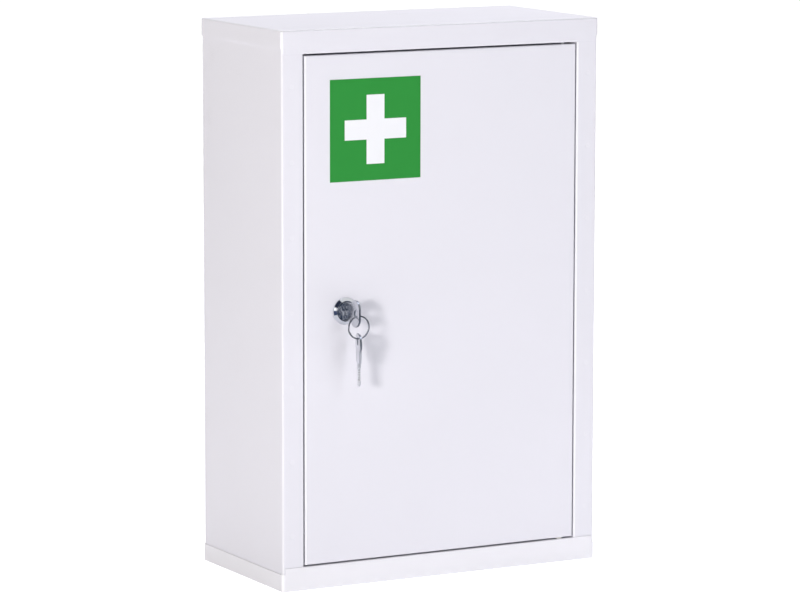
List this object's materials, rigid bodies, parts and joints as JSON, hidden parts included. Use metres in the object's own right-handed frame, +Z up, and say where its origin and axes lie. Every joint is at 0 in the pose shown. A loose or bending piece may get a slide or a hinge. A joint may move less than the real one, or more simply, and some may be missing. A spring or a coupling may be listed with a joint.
{
  "type": "lockable medicine cabinet",
  "caption": "Lockable wall medicine cabinet of folded white sheet steel with two shelves, a hinged door with a green cross sign, a cam lock and keys on a ring.",
  "frame": {"origin": "centre of the underside of the bottom panel", "axes": "+Z up, -Y towards the front where the door is, +X to the right as seen from the front"},
  "size_m": [0.3, 0.1807, 0.465],
  "materials": {
    "white_powder_coat": "semi-gloss powder coat",
    "lock_chrome": "polished chrome and nickel plate",
    "zinc_plate": "bright zinc plate",
    "wafer_brass": "stamped brass",
    "hinge_nylon": "natural moulded nylon",
    "bumper_rubber": "matt moulded rubber",
    "sign_green_vinyl": "green vinyl film",
    "sign_white_vinyl": "white vinyl film"
  },
  "bodies": {
    "cabinet": {"top_panel": "white_powder_coat", "bottom_panel": "white_powder_coat", "left_side_panel": "white_powder_coat", "right_side_panel": "white_powder_coat", "back_panel": "white_powder_coat", "upper_shelf": "white_powder_coat", "lower_shelf": "white_powder_coat", "upper_left_bracket": "white_powder_coat", "upper_right_bracket": "white_powder_coat", "lower_left_bracket": "white_powder_coat", "lower_right_bracket": "white_powder_coat", "upper_door_stop": "white_powder_coat", "lower_door_stop": "white_powder_coat", "door_bumpers": "bumper_rubber", "top_hinge_pin": "zinc_plate", "bottom_hinge_pin": "zinc_plate", "thrust_washer": "hinge_nylon"},
    "door": {"door_panel": "white_powder_coat", "top_hinge_bush": "hinge_nylon", "bottom_hinge_bush": "hinge_nylon", "sign_field": "sign_green_vinyl", "sign_cross": "sign_white_vinyl", "lock_housing": "lock_chrome", "lock_washer": "zinc_plate", "lock_nut": "zinc_plate"},
    "lock_core": {"lock_plug": "lock_chrome", "lock_cam": "zinc_plate", "cam_washer": "zinc_plate", "cam_screw": "zinc_plate"},
    "wafer_set": {"lock_wafers": "wafer_brass"},
    "inserted_key": {"door_key": "lock_chrome"},
    "ring": {"key_ring": "lock_chrome"},
    "hanging_key": {"spare_key": "lock_chrome"}
  },
  "joints": [
    {"name": "door_hinge", "type": "hinge", "parent": "cabinet", "child": "door", "pos_m": [0.117, -0.0702, 0.2325], "axis": [0, 0, 1], "range_deg": [0, 135]},
    {"name": "lock_turn", "type": "hinge", "parent": "door", "child": "lock_core", "pos_m": [-0.0913, -0.0742, 0.2315], "axis": [0, 1, 0], "range_deg": [0, 90]},
    {"name": "key_slide", "type": "slide", "parent": "lock_core", "child": "inserted_key", "axis": [0, -1, 0], "range_m": [0, 0.03]},
    {"name": "wafer_lift", "type": "slide", "parent": "lock_core", "child": "wafer_set", "axis": [0, 0, 1], "range_m": [0, 0.001]},
    {"name": "ring_swing", "type": "hinge", "parent": "inserted_key", "child": "ring", "pos_m": [-0.0913, -0.0947, 0.2294], "axis": [-1, 0, 0], "range_deg": [-8, 60]},
    {"name": "spare_key_swing", "type": "hinge", "parent": "ring", "child": "hanging_key", "pos_m": [-0.0892, -0.0947, 0.21094], "axis": [-1, 0, 0], "range_deg": [-10, 60]}
  ],
  "couplings": [
    {"joint": "wafer_lift", "follows": "key_slide", "ratio": 0.033333}
  ]
}
